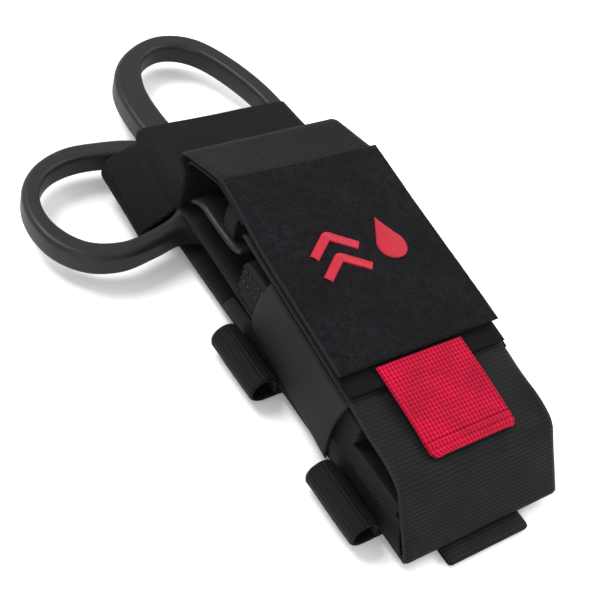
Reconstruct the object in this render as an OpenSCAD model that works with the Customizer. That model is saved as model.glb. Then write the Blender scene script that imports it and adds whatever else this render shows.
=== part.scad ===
// Tourniquet in its belt and webbing holder, with trauma shears behind it.
// X runs across the holder, Y from the closed bottom end towards the shears'
// rings, Z out through the flap. The origin is the middle of the underside
// that the holder rests on.

/* [Holder] */
// Width of the main webbing
holder_w = 60; // [58:1:62]
// Length of the holder's body, from the bottom end to the flap's fold
holder_l = 143; // [142:1:144]
// Thickness of the webbing
web_t = 1.2; // [1.0:0.1:1.4]
// Height of the shears' sleeve under the divider
sleeve_h = 7.1; // [6.9:0.1:7.4]
// Width of the red pull tab
tab_w = 32; // [28:1:36]

/* [Belt loops] */
// Width of the webbing that the belt loops are made of
loop_w = 24.5; // [22:0.5:26]
// How far a belt loop's fold stands out from the holder's side
loop_reach = 11.4; // [10:0.2:12]
// Width of the attachment strap down the back
strap_w = 31; // [28:1:34]

/* [Shears] */
// Thickness of the moulded handles
handle_t = 8.8; // [8.2:0.1:8.9]
// Thickness of each steel blade
blade_t = 1.9; // [1.6:0.1:2.0]
// Radius of the pivot screw's shank
pivot_r = 2.5; // [2:0.1:3]

/* [Tourniquet] */
// Width of the tourniquet's strap
tq_strap_w = 38; // [36:1:40]
// Radius of the windlass rod
rod_r = 4.2; // [3.8:0.1:4.3]
// Length of the windlass rod
rod_l = 92.5; // [90:0.5:93]

/* [Hidden] */

$fn = 48;
black_webbing = [0.11, 0.11, 0.12];
black_plastic = [0.07, 0.07, 0.07];
steel = [0.62, 0.63, 0.65];
red = [0.80, 0.07, 0.20];

// Middle of the underside, along Y from the bottom end
rest_mid_y = 70;

// Levels in Z, from the underside up
strap_top = web_t;
loop_low_z = strap_top + 0.1;
panel_z = loop_low_z + 2 * web_t + 0.2;
sleeve_z = panel_z + web_t;
divider_z = sleeve_z + sleeve_h;
mouth_z = divider_z + 3.7;
handle_z = sleeve_z + 0.3;
handle_mid = handle_z + handle_t / 2;

// Side profile of the front, as [y, z] on its outer surface
end_foot = [0, panel_z + 0.3];
end_corner = [13.5, 24.5];
front_knee = [41, 30];
front_top = [104, 38.2];
front_skin = [end_foot, end_corner, front_knee, front_top];
patch_t = 0.8;

// The flap's fold: a bead along the top of the end wall
fold_y = holder_l - 3;
fold_z = 34.5;
fold_r = 2.8;
flap_end_y = 47.5;
flap_crest = [121, 42.7];

// The shears' plan, as [x, y]
pivot = [2, 118];
boss_clear_r = 14;
screw_recess = 0.7;

function unit(v) = v / norm(v);
function normal_of(a, b) = let (d = unit(b - a)) [-d[1], d[0]];
// Mitred normal at vertex i of path p
function miter(p, i) =
    let (last = len(p) - 1,
         before = normal_of(p[max(i - 1, 0)], p[max(i, 1)]),
         after = normal_of(p[min(i, last - 1)], p[min(i + 1, last)]),
         sum = before + after)
    2 * sum / (sum * sum);
// Closed outline of a sheet whose one face follows path p and which is t thick
function sheet_outline(p, t) =
    concat(p, [for (i = [len(p) - 1 : -1 : 0]) p[i] + t * miter(p, i)]);
// Height of the front's outer surface at y
function front_z(y) = lookup(y, front_skin);
// Path that lies lift above the front's outer surface, from y0 to y1
function over_front(y0, y1, lift) =
    [for (y = [y0, for (p = front_skin) if (p[0] > y0 && p[0] < y1) p[0], y1])
        [y, front_z(y) + lift]];

// One point of a closed Catmull-Rom curve through the points p
function curve_point(p, i, t) =
    let (n = len(p), a = p[(i + n - 1) % n], b = p[i], c = p[(i + 1) % n],
         d = p[(i + 2) % n])
    0.5 * (2 * b + (c - a) * t + (2 * a - 5 * b + 4 * c - d) * t * t
        + (3 * b - a - 3 * c + d) * t * t * t);
function smooth(p, steps = 5) =
    [for (i = [0 : len(p) - 1], k = [0 : steps - 1]) curve_point(p, i, k / steps)];

// Moves the holder so that the middle of its underside is the origin
module placed() translate([0, -rest_mid_y, 0]) children();

// A shape in the YZ plane, w wide along X about x
module across(w, x = 0)
    translate([x - w / 2, 0, 0]) rotate([90, 0, 90]) linear_extrude(w) children();

// A shape in the XZ plane, l long along Y from y
module along(l, y)
    translate([0, y + l, 0]) rotate([90, 0, 0]) linear_extrude(l) children();

// A box from its low corner to its high corner
module block(low, high) translate(low) cube(high - low);

module back_panel() color(black_webbing) placed()
    block([-holder_w / 2, 2.2, panel_z], [holder_w / 2, holder_l - 1, sleeve_z]);

// Front wall of the shears' sleeve: side lips, and a slope up over the pivot's screw
slope_y = 80;
crest = [113, divider_z + 2.5];
module pocket_divider() color(black_webbing) placed() {
    lip_y = 102;
    lip_z = divider_z + (crest[1] - divider_z) * (lip_y - slope_y) / (crest[0] - slope_y);
    sewn = 0.5;
    across(holder_w) polygon(sheet_outline([[7.8, divider_z], [slope_y, divider_z], crest,
        [holder_l - 3.4, mouth_z]], web_t));
    for (side = [-1, 1])
        across(web_t, side * (holder_w - web_t) / 2)
            polygon([[2.3, sleeve_z], [lip_y + 4, sleeve_z], [lip_y, lip_z + sewn],
                     [slope_y, divider_z + sewn], [8.3, divider_z + sewn], [7.8, divider_z],
                     [7, divider_z]]);
}

module end_wall() color(black_webbing) placed() {
    top = mouth_z + web_t;
    block([-holder_w / 2, holder_l - 3.4 - web_t, top], [holder_w / 2, holder_l - 3.4, fold_z]);
    translate([-holder_w / 2, fold_y, fold_z]) rotate([0, 90, 0]) cylinder(r = fold_r, h = holder_w);
}

// Runs up from the bottom end and under the flap
module front_strap() color(black_webbing) placed()
    across(holder_w) polygon(sheet_outline(
        [for (i = [len(front_skin) - 1 : -1 : 0]) front_skin[i]], web_t));

module front_loop_patch() color(black_webbing) placed()
    across(holder_w - 6) polygon(sheet_outline(over_front(50, 100, 0.02), patch_t));

// Elastic that holds the tourniquet, down one side of the holder
module elastic_band(side) {
    band_t = 1.2;
    low_y = 40;
    high_y = 88.5;
    outer = holder_w / 2 + band_t;
    across(band_t, side * (outer - band_t / 2))
        polygon([[low_y + 1, panel_z], [58.5, 7.6], [82.5, 11.4], [high_y, 15.7], [high_y, 26],
                 [high_y - 3, front_z(high_y - 3)], [front_knee[0], front_z(front_knee[0])],
                 [low_y, 18]]);
}
module elastic_band_left() color([0.16, 0.16, 0.17]) placed() elastic_band(-1);
module elastic_band_right() color([0.16, 0.16, 0.17]) placed() elastic_band(1);

// A closed loop of webbing under the back panel, with its fold out to the left
module belt_loop(mid_y) {
    inner = 4;
    fold_x = -holder_w / 2 - loop_reach + inner + web_t;
    fold_mid = loop_low_z + web_t + inner;
    side_x = -holder_w / 2 - 3.4;
    upper = panel_z - web_t - 0.02;
    end_x = holder_w / 2 - 5;
    fold = [for (a = [270 : -10 : 60]) [fold_x + inner * cos(a), fold_mid + inner * sin(a)]];
    along(loop_w, mid_y - loop_w / 2) polygon(sheet_outline(
        concat([[end_x, loop_low_z + web_t]], fold, [[side_x, 8.2], [side_x + 0.2, upper + 1.2],
            [side_x + 1.2, upper], [end_x, upper]]), web_t));
}
lower_loop_y = 24.8;
upper_loop_y = 80.5;
module belt_loop_lower() color(black_webbing) placed() belt_loop(lower_loop_y);
module belt_loop_upper() color(black_webbing) placed() belt_loop(upper_loop_y);

// The attachment strap lies flat down the back and is sewn on at its top
strap_hinge_y = 112;
module attachment_strap() color(black_webbing) placed() {
    tail = 4.5;
    block([-strap_w / 2, -tail, 0], [strap_w / 2, strap_hinge_y - 0.3, strap_top]);
    block([-strap_w / 2, -tail, strap_top], [strap_w / 2, 6, 2 * strap_top]);
}
module strap_anchor() color(black_webbing) placed()
    block([-strap_w / 2, strap_hinge_y, 0], [strap_w / 2, 128, panel_z]);
module strap_hook_patch() color(black_webbing) placed()
    block([-strap_w / 2 + 3, 42, strap_top], [strap_w / 2 - 3, 64, strap_top + 1.1]);
module back_loop_patch() color(black_webbing) placed()
    block([-strap_w / 2 + 2, 41, strap_top + 1.3], [strap_w / 2 - 2, 65, panel_z]);

// Elastic that wraps both handles' arms and passes down through the thumb ring
band_y = 140;
band_l = 38;
module shears_band() color(black_webbing) placed() {
    band_t = 1.2;
    right = 41.6;
    step_x = -25.6;
    top = handle_z + handle_t + 0.3;
    low = panel_z - band_t;
    fold_x = -41.8;
    fold_l = 21.5;
    along(band_l, band_y) {
        translate([step_x, top]) square([right - step_x, band_t]);
        translate([right - band_t, low]) square([band_t, top - low]);
        translate([step_x, low]) square([right - step_x, band_t]);
    }
    along(fold_l, band_y + 4.5)
        difference() {
            polygon([[step_x + 1, low], [fold_x, low], [fold_x - 1.2, panel_z + 1],
                     [fold_x + 2, panel_z + 4], [step_x - 3.6, top], [step_x - 2.6, top + band_t],
                     [step_x + 1, top + band_t]]);
            polygon([[step_x + 2, low + band_t], [fold_x + 1.4, low + band_t],
                     [fold_x + 2.6, panel_z + 2.4], [step_x - 2.9, top - 1.2], [step_x - 2.2, top],
                     [step_x + 2, top]]);
        }
}

// The flap: webbing from the fold to the lower edge, faced with soft loop pile
flap_lift = 2 * patch_t + 0.4;
module flap_webbing() color(black_webbing) placed()
    across(holder_w) polygon(sheet_outline(
        concat(over_front(flap_end_y + 0.5, 100, flap_lift),
            [[flap_crest[0], flap_crest[1] - 0.6], [fold_y + 0.4, fold_z + fold_r + 0.35]]), web_t));
pile_t = 1.2;
module flap_loop_panel() color([0.09, 0.09, 0.11]) placed()
    across(holder_w + 1) polygon(sheet_outline(
        concat(over_front(flap_end_y, 100, flap_lift + web_t + 0.02),
            [[flap_crest[0] - 1, flap_crest[1] + web_t - 0.6]]), pile_t));
module flap_hook_panel() color(black_webbing) placed()
    across(holder_w - 1) polygon(sheet_outline(
        over_front(front_knee[0] + 0.5, 98, patch_t + 0.35), patch_t));

// Two chevrons and a solid drop, in raised satin stitch
mark_y = 85;
module embroidered_mark() color(red) placed() {
    slope = atan((front_top[1] - front_knee[1]) / (front_top[0] - front_knee[0]));
    height = front_z(mark_y) + flap_lift + web_t + pile_t + 0.1;
    drop_r = 5.2;
    translate([0, mark_y, height]) rotate([slope, 0, 0]) linear_extrude(0.5) {
        for (y = [-7.5, 0.7])
            translate([-7.6, y]) polygon([[-8.4, -2], [0, 4.4], [8.4, -2], [8.4, 2], [0, 8.4], [-8.4, 2]]);
        translate([11.8, -2.4])
            polygon(concat([[0, 10.6]], [for (a = [150 : 10 : 390]) drop_r * [cos(a), sin(a)]]));
    }
}

// Red tab under the flap's lower edge, lying on the front
tab_y = 17;
module pull_tab() color(red) placed()
    across(tab_w, 0.5) polygon(sheet_outline(
        [[tab_y, front_z(tab_y) + 0.35], [36, front_z(36) + 0.9],
         [front_knee[0] + 0.3, front_z(front_knee[0] + 0.3) + 2.3],
         [flap_end_y - 0.5, front_z(flap_end_y - 0.5) + 2.3]], 1.4));

// Handles in plan; the two halves cross at the pivot
finger_outer = [[-8.5, 133], [-12.6, 150], [-17.8, 168], [-20.6, 184], [-18.2, 206],
                [-7.5, 220.6], [9.5, 227.6], [24.5, 222], [34, 204], [38.4, 181], [36, 158],
                [26, 139], [13, 126], [0, 124]];
finger_hole = [[-2, 156], [-7.4, 170], [-9.2, 186], [-8, 202], [-1.8, 215.2], [9.5, 220.4],
               [20.2, 215.2], [27.6, 200], [31.2, 180], [27, 162], [12, 147]];
thumb_outer = [[-21.8, 174], [-28, 177.6], [-39, 179.8], [-51, 180.4], [-63, 176], [-71.8, 167],
               [-75.4, 154.5], [-73.4, 141], [-65.6, 131.2], [-54, 127.4], [-41, 129.2],
               [-30, 131.4], [-22, 128], [-16.4, 122.6], [-11.6, 125.4], [-11.2, 133],
               [-14.4, 150], [-18.8, 166]];
thumb_hole = [[-26.2, 164.6], [-34, 171.4], [-49, 173.6], [-61, 170], [-68, 161],
              [-68.6, 149], [-62.6, 138.4], [-52, 134.4], [-41, 136], [-30.6, 139.6],
              [-25, 146], [-24.4, 155]];
finger_blade_z = handle_mid - blade_t - 0.1;
thumb_blade_z = handle_mid + 0.1;
thumb_boss_z = thumb_blade_z + blade_t + 0.1;

// The steel tang that each handle is moulded round
module finger_tang() translate([pivot[0] - 5, pivot[1] + 6, finger_blade_z]) cube([10, 18, blade_t]);
module thumb_tang()
    translate([pivot[0], pivot[1], thumb_blade_z]) rotate([0, 0, 160])
        translate([6, -4, 0]) cube([14, 8, blade_t]);

module handle_plan(outer, hole)
    translate([0, 0, handle_z]) linear_extrude(handle_t) difference() {
        polygon(smooth(outer));
        polygon(smooth(hole));
        translate(pivot) circle(boss_clear_r);
    }

module finger_handle() color(black_plastic) placed() {
    boss_z = handle_z + screw_recess;
    boss_h = finger_blade_z - boss_z;
    difference() {
        handle_plan(finger_outer, finger_hole);
        finger_tang();
    }
    translate([pivot[0], pivot[1], boss_z]) difference() {
        union() {
            cylinder(r = 8.5, h = boss_h);
            translate([-6, 0, 0]) cube([12, 22, boss_h]);
        }
        translate([0, 0, -1]) cylinder(r = pivot_r, h = boss_h + 2);
    }
}

module thumb_handle() color(black_plastic) placed() {
    boss_h = handle_z + handle_t - screw_recess - thumb_boss_z;
    difference() {
        handle_plan(thumb_outer, thumb_hole);
        thumb_tang();
    }
    translate([pivot[0], pivot[1], thumb_boss_z]) difference() {
        union() {
            cylinder(r = 8.5, h = boss_h);
            rotate([0, 0, 160]) translate([0, -4.5, 0]) cube([20, 9, boss_h]);
        }
        translate([0, 0, -1]) cylinder(r = pivot_r + 0.05, h = boss_h + 2);
    }
}

// One blade: root round the pivot, then down to a blunt tip
module blade(edge, z) {
    tip_y = 38;
    translate([0, 0, z]) difference() {
        linear_extrude(blade_t) {
            translate(pivot) circle(8);
            polygon([[pivot[0] - 7, pivot[1]], [pivot[0] + 7, pivot[1]],
                     [pivot[0] + 8 + edge, 96], [edge + 4, tip_y + 3], [edge + 1, tip_y],
                     [edge - 5, tip_y + 1], [pivot[0] - 10 + edge, 96]]);
        }
        translate([pivot[0], pivot[1], -1]) cylinder(r = pivot_r, h = blade_t + 2);
    }
}
module finger_blade() color(steel) placed() {
    blade(-1, finger_blade_z);
    finger_tang();
}
module thumb_blade() color(steel) placed() {
    blade(1, thumb_blade_z);
    thumb_tang();
}

module pivot_screw() color(steel) placed() translate([pivot[0], pivot[1], 0]) {
    head_z = handle_z + handle_t - screw_recess + 0.1;
    translate([0, 0, handle_z + screw_recess - 0.1])
        cylinder(r = pivot_r - 0.05, h = head_z - handle_z - screw_recess + 0.2);
    translate([0, 0, head_z]) cylinder(r = 4.6, h = screw_recess - 0.1);
}
module pivot_nut() color(steel) placed() translate([pivot[0], pivot[1], handle_z])
    cylinder(r = 4.2, h = screw_recess - 0.1);

// Tourniquet, folded, between the divider and the front. Its strap fills the
// left side, and the windlass rod lies along the right.
tq_low_z = divider_z + web_t + 0.2;
pack_top = tq_low_z + 3.4;
strap_x = -9.8;
rod_x = 16;
rod_z = pack_top + rod_r + 0.3;
rod_y = 34;
clip_y = 86;
module folded_strap() color(black_webbing) placed()
    across(tq_strap_w, strap_x) polygon([[12, tq_low_z], [76.5, tq_low_z], [98.5, tq_low_z + 1.7],
        [101.5, tq_low_z + 2.5], [100, pack_top], [12, pack_top], [10.5, tq_low_z + 1.7]]);
module running_end() color(black_webbing) placed()
    across(tq_strap_w, strap_x) polygon([[34, pack_top + 0.2], [100, pack_top + 0.2],
        [102.5, pack_top + 5.5], [100, pack_top + 12.6], [60, pack_top + 9.4], [34, pack_top + 8]]);
module friction_buckle() color(black_plastic) placed() translate([0, 15, pack_top + 0.2])
    difference() {
        block([-23, 0, 0], [23, 15, 3.3]);
        for (y = [3, 9])
            block([-tq_strap_w / 2 - 0.5, y, -1], [tq_strap_w / 2 + 0.5, y + 3, 5]);
    }
module stabiliser_plate() color(black_plastic) placed()
    across(50.6, -3.5) polygon(sheet_outline([[104.3, 27.8], [109, 26], [119, 26], [127.5, 26.5],
        [133.7, 23.6]], 1.8));
module windlass_rod() color(black_plastic) placed() translate([rod_x, rod_y, rod_z])
    rotate([-90, 0, 0]) {
        cylinder(r = rod_r, h = rod_l - rod_r);
        translate([0, 0, rod_l - rod_r]) sphere(rod_r);
    }
module windlass_clip() color(black_plastic) placed()
    along(12, clip_y) translate([rod_x, rod_z]) difference() {
        circle(rod_r + 2);
        circle(rod_r + 0.05);
        translate([-2.6, 0]) square([5.2, rod_r + 4]);
    }
module inner_band() color(black_webbing) placed()
    along(9, 66) translate([rod_x, rod_z]) difference() {
        circle(rod_r + 1.3);
        circle(rod_r + 0.05);
        translate([-rod_r - 2, -rod_r - 2]) square([2 * rod_r + 4, 2.5]);
    }
module time_strap() color([0.75, 0.75, 0.72]) placed()
    block([rod_x - 6.4, clip_y + 2, rod_z + rod_r + 2.5], [rod_x + 6.4, clip_y + 10, rod_z + rod_r + 3.5]);
// Free end of the strap, standing up beside the plate
module strap_tip() color(black_webbing) placed()
    block([-27.8, 110, 28.2], [-26.4, 117.5, 38.5]);

back_panel();
pocket_divider();
end_wall();
front_strap();
front_loop_patch();
elastic_band_left();
elastic_band_right();
belt_loop_lower();
belt_loop_upper();
strap_anchor();
back_loop_patch();
shears_band();
attachment_strap();
strap_hook_patch();
flap_webbing();
flap_loop_panel();
flap_hook_panel();
embroidered_mark();
pull_tab();
finger_handle();
finger_blade();
thumb_handle();
thumb_blade();
pivot_screw();
pivot_nut();
folded_strap();
running_end();
friction_buckle();
stabiliser_plate();
windlass_rod();
windlass_clip();
inner_band();
time_strap();
strap_tip();
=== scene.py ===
"""Looks of a folded tourniquet in its webbing holder, with trauma shears in the sleeve behind it."""
import math

import bmesh
import bpy
import numpy as np
from mathutils import Matrix, Vector, noise
from mathutils.bvhtree import BVHTree


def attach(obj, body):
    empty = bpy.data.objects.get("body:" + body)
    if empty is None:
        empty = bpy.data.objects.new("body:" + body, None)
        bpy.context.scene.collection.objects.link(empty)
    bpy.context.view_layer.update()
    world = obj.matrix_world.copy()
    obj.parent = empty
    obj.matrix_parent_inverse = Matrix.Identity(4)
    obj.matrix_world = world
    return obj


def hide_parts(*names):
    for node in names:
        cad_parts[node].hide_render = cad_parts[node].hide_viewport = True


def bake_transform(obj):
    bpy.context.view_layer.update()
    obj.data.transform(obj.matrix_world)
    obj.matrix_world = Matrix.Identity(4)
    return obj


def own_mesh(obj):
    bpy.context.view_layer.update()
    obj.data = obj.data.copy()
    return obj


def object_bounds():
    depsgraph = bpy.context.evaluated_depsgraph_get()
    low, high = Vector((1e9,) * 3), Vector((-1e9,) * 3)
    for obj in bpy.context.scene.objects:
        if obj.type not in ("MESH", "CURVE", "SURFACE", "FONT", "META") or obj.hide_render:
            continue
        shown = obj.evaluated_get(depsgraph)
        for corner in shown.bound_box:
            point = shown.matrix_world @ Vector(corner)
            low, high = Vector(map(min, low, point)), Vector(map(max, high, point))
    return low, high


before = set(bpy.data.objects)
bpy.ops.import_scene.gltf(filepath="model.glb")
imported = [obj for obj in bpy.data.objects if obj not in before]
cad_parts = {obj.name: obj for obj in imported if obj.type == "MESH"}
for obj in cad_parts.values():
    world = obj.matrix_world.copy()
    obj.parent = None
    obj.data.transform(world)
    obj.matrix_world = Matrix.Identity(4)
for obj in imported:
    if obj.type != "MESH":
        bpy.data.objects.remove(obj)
cad_low, cad_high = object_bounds()

MM = 0.001
X = Vector((1, 0, 0))
Y = Vector((0, 1, 0))
Z = Vector((0, 0, 1))

# Millimetres, shared by the pieces and their weaves. A pitch is the distance from rib to rib.
WEBBING_WIDTH = 60.0
WEBBING_THICK = 1.2
WEBBING_PITCH = 1.3
FLAP_PITCH = 1.15
BAND_PITCH = 1.4
FINE_PITCH = 0.9
LABEL_PITCH = 0.8
THREAD_PITCH = 0.42

# ---------------------------------------------------------------- camera, light, floor


def make_camera():
    """The camera stands low on the left, past the bottom end, and is rolled."""
    back = Vector((-0.51387, -0.47605, 0.71367))
    right = Vector((0.81506, -0.53045, 0.23304))
    aim = Vector((-12.4, 14.8, 20.0)) * MM
    distance = 386.6 * MM
    up = back.cross(right)
    data = bpy.data.cameras.new("camera")
    data.lens = 74.0
    data.sensor_width = 36.0
    data.shift_x = -0.0165
    data.shift_y = 0.0048
    data.clip_start = 0.01
    camera = bpy.data.objects.new("camera", data)
    turn = Matrix((right, up, back)).transposed().to_4x4()
    camera.matrix_world = Matrix.Translation(aim + back * distance) @ turn
    bpy.context.scene.collection.objects.link(camera)
    bpy.context.scene.camera = camera


def area_light(name, place, aim, size, power):
    data = bpy.data.lights.new(name, "AREA")
    data.shape = "DISK"
    data.size = size
    data.energy = power
    lamp = bpy.data.objects.new(name, data)
    lamp.location = place
    lamp.rotation_euler = (Vector(aim) - Vector(place)).to_track_quat("-Z", "Y").to_euler()
    bpy.context.scene.collection.objects.link(lamp)


def make_studio():
    """Plain white floor, a pale world and three large soft lamps."""
    bpy.ops.mesh.primitive_plane_add(size=8, location=(0, 0, cad_low.z - 0.2 * MM))
    floor = bpy.context.object
    floor.name = "floor"
    floor.data.materials.append(plain("floor_white", (0.93, 0.93, 0.93), 0.9))
    world = bpy.data.worlds.new("world")
    world.use_nodes = True
    world.node_tree.nodes["Background"].inputs["Color"].default_value = (1, 1, 1, 1)
    world.node_tree.nodes["Background"].inputs["Strength"].default_value = 0.9
    bpy.context.scene.world = world
    area_light("key", (-0.35, 0.55, 0.9), (0, 0, 0), 0.5, 9.0)
    area_light("fill", (0.7, -0.1, 0.7), (0, 0, 0), 0.6, 5.0)
    area_light("rim", (-0.6, -0.5, 0.5), (0, 0, 0.02), 0.5, 2.5)
    bpy.context.scene.view_settings.view_transform = "Standard"


# ---------------------------------------------------------------- materials


class Graph:
    """Shorthand for building one material's nodes."""

    def __init__(self, name):
        self.material = bpy.data.materials.new(name)
        self.material.use_nodes = True
        self.tree = self.material.node_tree
        self.shader = self.tree.nodes["Principled BSDF"]

    def node(self, kind, inputs=(), **settings):
        made = self.tree.nodes.new(kind)
        for key, value in settings.items():
            setattr(made, key, value)
        for key, value in dict(inputs).items():
            self.put(made.inputs[key], value)
        return made

    def put(self, socket, value):
        if isinstance(value, bpy.types.NodeSocket):
            self.tree.links.new(value, socket)
        else:
            socket.default_value = value

    def math(self, operation, a, b=0.0):
        return self.node("ShaderNodeMath", {0: a, 1: b}, operation=operation).outputs[0]

    def noise(self, coordinates, scale, detail=3.0, roughness=0.55):
        inputs = {"Vector": coordinates, "Scale": scale, "Detail": detail, "Roughness": roughness}
        return self.node("ShaderNodeTexNoise", inputs).outputs["Fac"]

    def ramp(self, value, low, high):
        """0 below low, 1 above high."""
        inputs = {"Value": value, "From Min": low, "From Max": high}
        return self.node("ShaderNodeMapRange", inputs).outputs["Result"]

    def mix(self, amount, dark, light):
        made = self.node("ShaderNodeMix", data_type="RGBA")
        self.put(made.inputs["Factor"], amount)
        self.put(made.inputs["A"], (*dark, 1))
        self.put(made.inputs["B"], (*light, 1))
        return made.outputs["Result"]

    def bump(self, height, depth):
        inputs = {"Height": height, "Distance": depth, "Strength": 1.0}
        return self.node("ShaderNodeBump", inputs).outputs["Normal"]

    def finish(self, color, roughness, normal=None, sheen=0.0, specular=0.5, metallic=0.0):
        self.put(self.shader.inputs["Base Color"], color)
        self.put(self.shader.inputs["Roughness"], roughness)
        if normal is not None:
            self.put(self.shader.inputs["Normal"], normal)
        self.shader.inputs["Sheen Weight"].default_value = sheen
        self.shader.inputs["Sheen Roughness"].default_value = 0.5
        self.shader.inputs["Specular IOR Level"].default_value = specular
        self.shader.inputs["Metallic"].default_value = metallic
        return self.material


def shade(color, factor):
    return tuple(min(1.0, c * factor) for c in color)


def plain(name, color, roughness):
    g = Graph(name)
    return g.finish((*color, 1), roughness)


def weave_coordinates(g):
    """Distances across and along a strap in millimetres, from its own map."""
    uv = g.node("ShaderNodeUVMap", uv_map="weave").outputs["UV"]
    parts = g.node("ShaderNodeSeparateXYZ", {0: uv})
    return uv, parts.outputs[0], parts.outputs[1]


def webbing(name, color, pitch=WEBBING_PITCH, rib=0.12, grain=0.9, light=1.75,
            selvage=WEBBING_WIDTH / 2, cross=0.2, stagger=1.0):
    """Woven strap: ribs across it, pitch apart in millimetres, each made of fine twisted yarns.

    selvage is half the strap's width: its woven edges get a painted highlight. The colour follows
    the rib height, so the grooves between ribs are painted darker: painted shade. cross is how much
    the yarns along the strap show, and stagger how far they step from one rib to the next.
    """
    g = Graph(name)
    uv, across, along = weave_coordinates(g)
    turn = g.math("MULTIPLY", along, 2 * math.pi / pitch)
    ribs = g.math("MULTIPLY_ADD", g.math("SINE", turn), 0.5)
    g.put(ribs.node.inputs[2], 0.5)
    yarn_turn = g.math("MULTIPLY", across, 2 * math.pi / grain)
    flip = g.math("MULTIPLY", along, math.pi / pitch)
    step = g.math("MULTIPLY", g.math("FLOOR", flip), stagger)
    yarns = g.math("SINE", g.math("ADD", yarn_turn, step))
    fibre = g.noise(uv, 2.6, 4.0)
    patch = g.noise(uv, 0.09, 2.0)
    height = g.math("ADD", g.math("MULTIPLY", ribs, 0.55), g.math("MULTIPLY", yarns, cross))
    height = g.math("ADD", height, g.math("MULTIPLY", fibre, 0.9))
    # The colour follows the weave's height: painted shade in the grooves, with random fibre tone.
    tone = g.ramp(height, 0.3, 1.25)
    tone = g.math("MULTIPLY", tone, g.ramp(patch, 0.1, 0.65))
    # A painted highlight along the woven edges.
    edge = g.ramp(g.math("ABSOLUTE", across), selvage - 1.1, selvage - 0.3)
    tone = g.math("ADD", tone, g.math("MULTIPLY", edge, 0.9))
    base = g.mix(tone, shade(color, 0.4), shade(color, light))
    roughness = g.ramp(fibre, -0.6, 1.1)
    normal = g.bump(height, rib * MM)
    return g.finish(base, roughness, normal, sheen=0.01, specular=0.1)


def pile(name, color, light=3.4):
    """Brushed loop tape: a close fuzz of tiny loops, paler along its cut edge."""
    g = Graph(name)
    uv, across, _along = weave_coordinates(g)
    fuzz = g.noise(uv, 1.3, 6.0, 0.75)
    clumps = g.noise(uv, 0.35, 3.0, 0.6)
    nap = g.noise(uv, 0.05, 2.0)
    height = g.math("ADD", fuzz, g.math("MULTIPLY", clumps, 0.35))
    tone = g.ramp(height, 0.56, 0.84)
    tone = g.math("MULTIPLY", tone, g.ramp(nap, 0.1, 0.75))
    edge = g.ramp(g.math("ABSOLUTE", across), 29.7, 30.3)
    tone = g.math("ADD", tone, g.math("MULTIPLY", edge, 0.8))
    base = g.mix(tone, shade(color, 0.2), shade(color, light))
    normal = g.bump(height, 0.8 * MM)
    return g.finish(base, 0.95, normal, sheen=0.02, specular=0.08)


def hook_tape(name, color):
    """Hook tape: rows of stiff little hooks on a smooth ground."""
    g = Graph(name)
    uv, across, along = weave_coordinates(g)
    rows = g.math("SINE", g.math("MULTIPLY", across, 2 * math.pi / 0.8))
    steps = g.math("SINE", g.math("MULTIPLY", along, 2 * math.pi / 1.0))
    height = g.ramp(g.math("MULTIPLY", rows, steps), 0.1, 0.7)
    fibre = g.noise(uv, 2.5, 3.0)
    base = g.mix(g.math("ADD", g.math("MULTIPLY", height, 0.35), g.math("MULTIPLY", fibre, 0.65)),
                 shade(color, 0.6), shade(color, 1.5))
    normal = g.bump(height, 0.15 * MM)
    return g.finish(base, 0.8, normal, sheen=0.01, specular=0.06)


def smooth_elastic(name, color):
    """Plain elastic: very fine cords along it, almost smooth."""
    g = Graph(name)
    uv, across, _along = weave_coordinates(g)
    cords = g.math("SINE", g.math("MULTIPLY", across, 2 * math.pi / 0.8))
    fibre = g.noise(uv, 2.4, 4.0)
    broad = g.noise(uv, 0.06, 2.0)
    height = g.math("ADD", g.math("MULTIPLY", cords, 0.35), fibre)
    tone = g.math("MULTIPLY", g.ramp(height, 0.0, 1.0), g.ramp(broad, 0.1, 0.8))
    base = g.mix(tone, shade(color, 0.7), shade(color, 1.35))
    normal = g.bump(height, 0.05 * MM)
    return g.finish(base, 0.62, normal, sheen=0.01, specular=0.14)


def thread(name, color):
    """Satin stitch: glossy parallel threads."""
    g = Graph(name)
    uv, _across, along = weave_coordinates(g)
    threads = g.math("SINE", g.math("MULTIPLY", along, 2 * math.pi / THREAD_PITCH))
    fibre = g.noise(uv, 2.0, 3.0)
    height = g.math("ADD", g.math("MULTIPLY", threads, 0.5), fibre)
    base = g.mix(g.ramp(height, -0.2, 1.2), shade(color, 0.45), shade(color, 1.25))
    normal = g.bump(height, 0.12 * MM)
    return g.finish(base, 0.42, normal, sheen=0.02, specular=0.3)


def moulded(name, color, roughness=0.42, grain=900.0, depth=0.03, gloss=0.4):
    """Moulded plastic: fine spark-eroded grain, and a little wear."""
    g = Graph(name)
    place = g.node("ShaderNodeTexCoord").outputs["Object"]
    grit = g.noise(place, grain, 3.0, 0.6)
    wear = g.noise(place, 45.0, 4.0, 0.6)
    scuff = g.ramp(wear, 0.5, 0.75)
    base = g.mix(g.math("MULTIPLY", scuff, grit), color, shade(color, 1.5))
    matt = g.ramp(g.math("ADD", wear, g.math("MULTIPLY", grit, 0.4)), -1.0 + roughness, 2.6 - roughness)
    normal = g.bump(grit, depth * MM)
    return g.finish(base, matt, normal, specular=gloss)


def brushed_steel(name, color):
    """Steel ground lengthwise, with fine scratches along Y."""
    g = Graph(name)
    place = g.node("ShaderNodeTexCoord").outputs["Object"]
    stretched = g.node("ShaderNodeMapping", {"Vector": place, "Scale": (1.0, 0.02, 1.0)}).outputs[0]
    lines = g.noise(stretched, 4000.0, 2.0)
    stain = g.noise(place, 60.0, 3.0)
    base = g.mix(g.ramp(stain, 0.3, 0.7), shade(color, 0.85), color)
    roughness = g.ramp(lines, -0.6, 1.6)
    normal = g.bump(lines, 0.01 * MM)
    return g.finish(base, roughness, normal, metallic=1.0)


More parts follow.
